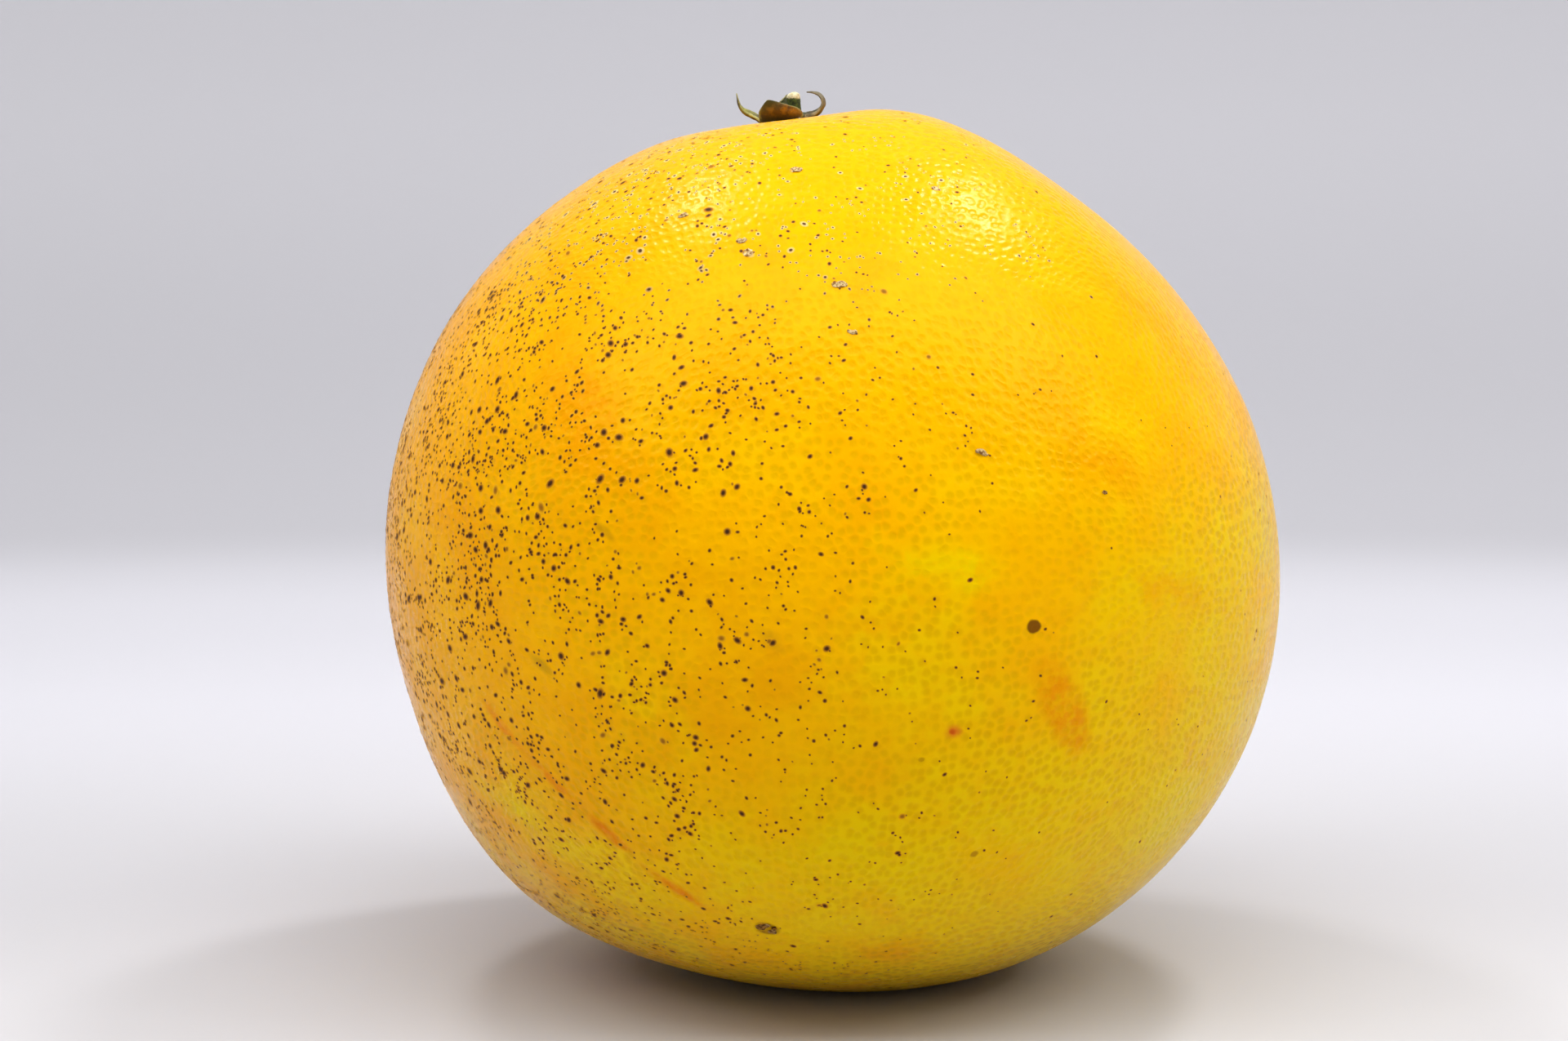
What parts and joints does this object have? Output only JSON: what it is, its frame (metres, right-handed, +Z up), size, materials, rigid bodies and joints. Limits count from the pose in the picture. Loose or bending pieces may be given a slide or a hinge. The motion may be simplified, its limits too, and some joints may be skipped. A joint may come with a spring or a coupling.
{
  "type": "pomelo",
  "caption": "Whole ripe pomelo standing stem end up on a small flat rest spot, with its dried calyx: a disc, the stub of the stalk and pointed sepals.",
  "frame": {"origin": "on the surface that the fruit stands on, under the middle of the fruit", "axes": "+Z up, -Y towards the front, +X to the right; the stem sits a little left of the middle"},
  "size_m": [0.1504, 0.1458, 0.1492],
  "materials": {
    "rind": null,
    "dried_calyx": null,
    "stalk_scar": "dry woody stub with a cream scar, matte",
    "straw_sepal": null,
    "brown_sepal": null,
    "green_sepal": null
  },
  "bodies": {
    "root": {"fruit": "rind", "calyx_disc": "dried_calyx", "stalk_stub": "stalk_scar", "sepal_left": "straw_sepal", "sepal_front": "brown_sepal", "sepal_right": "green_sepal", "sepal_rear": "green_sepal", "sepal_back": "green_sepal"}
  },
  "joints": []
}
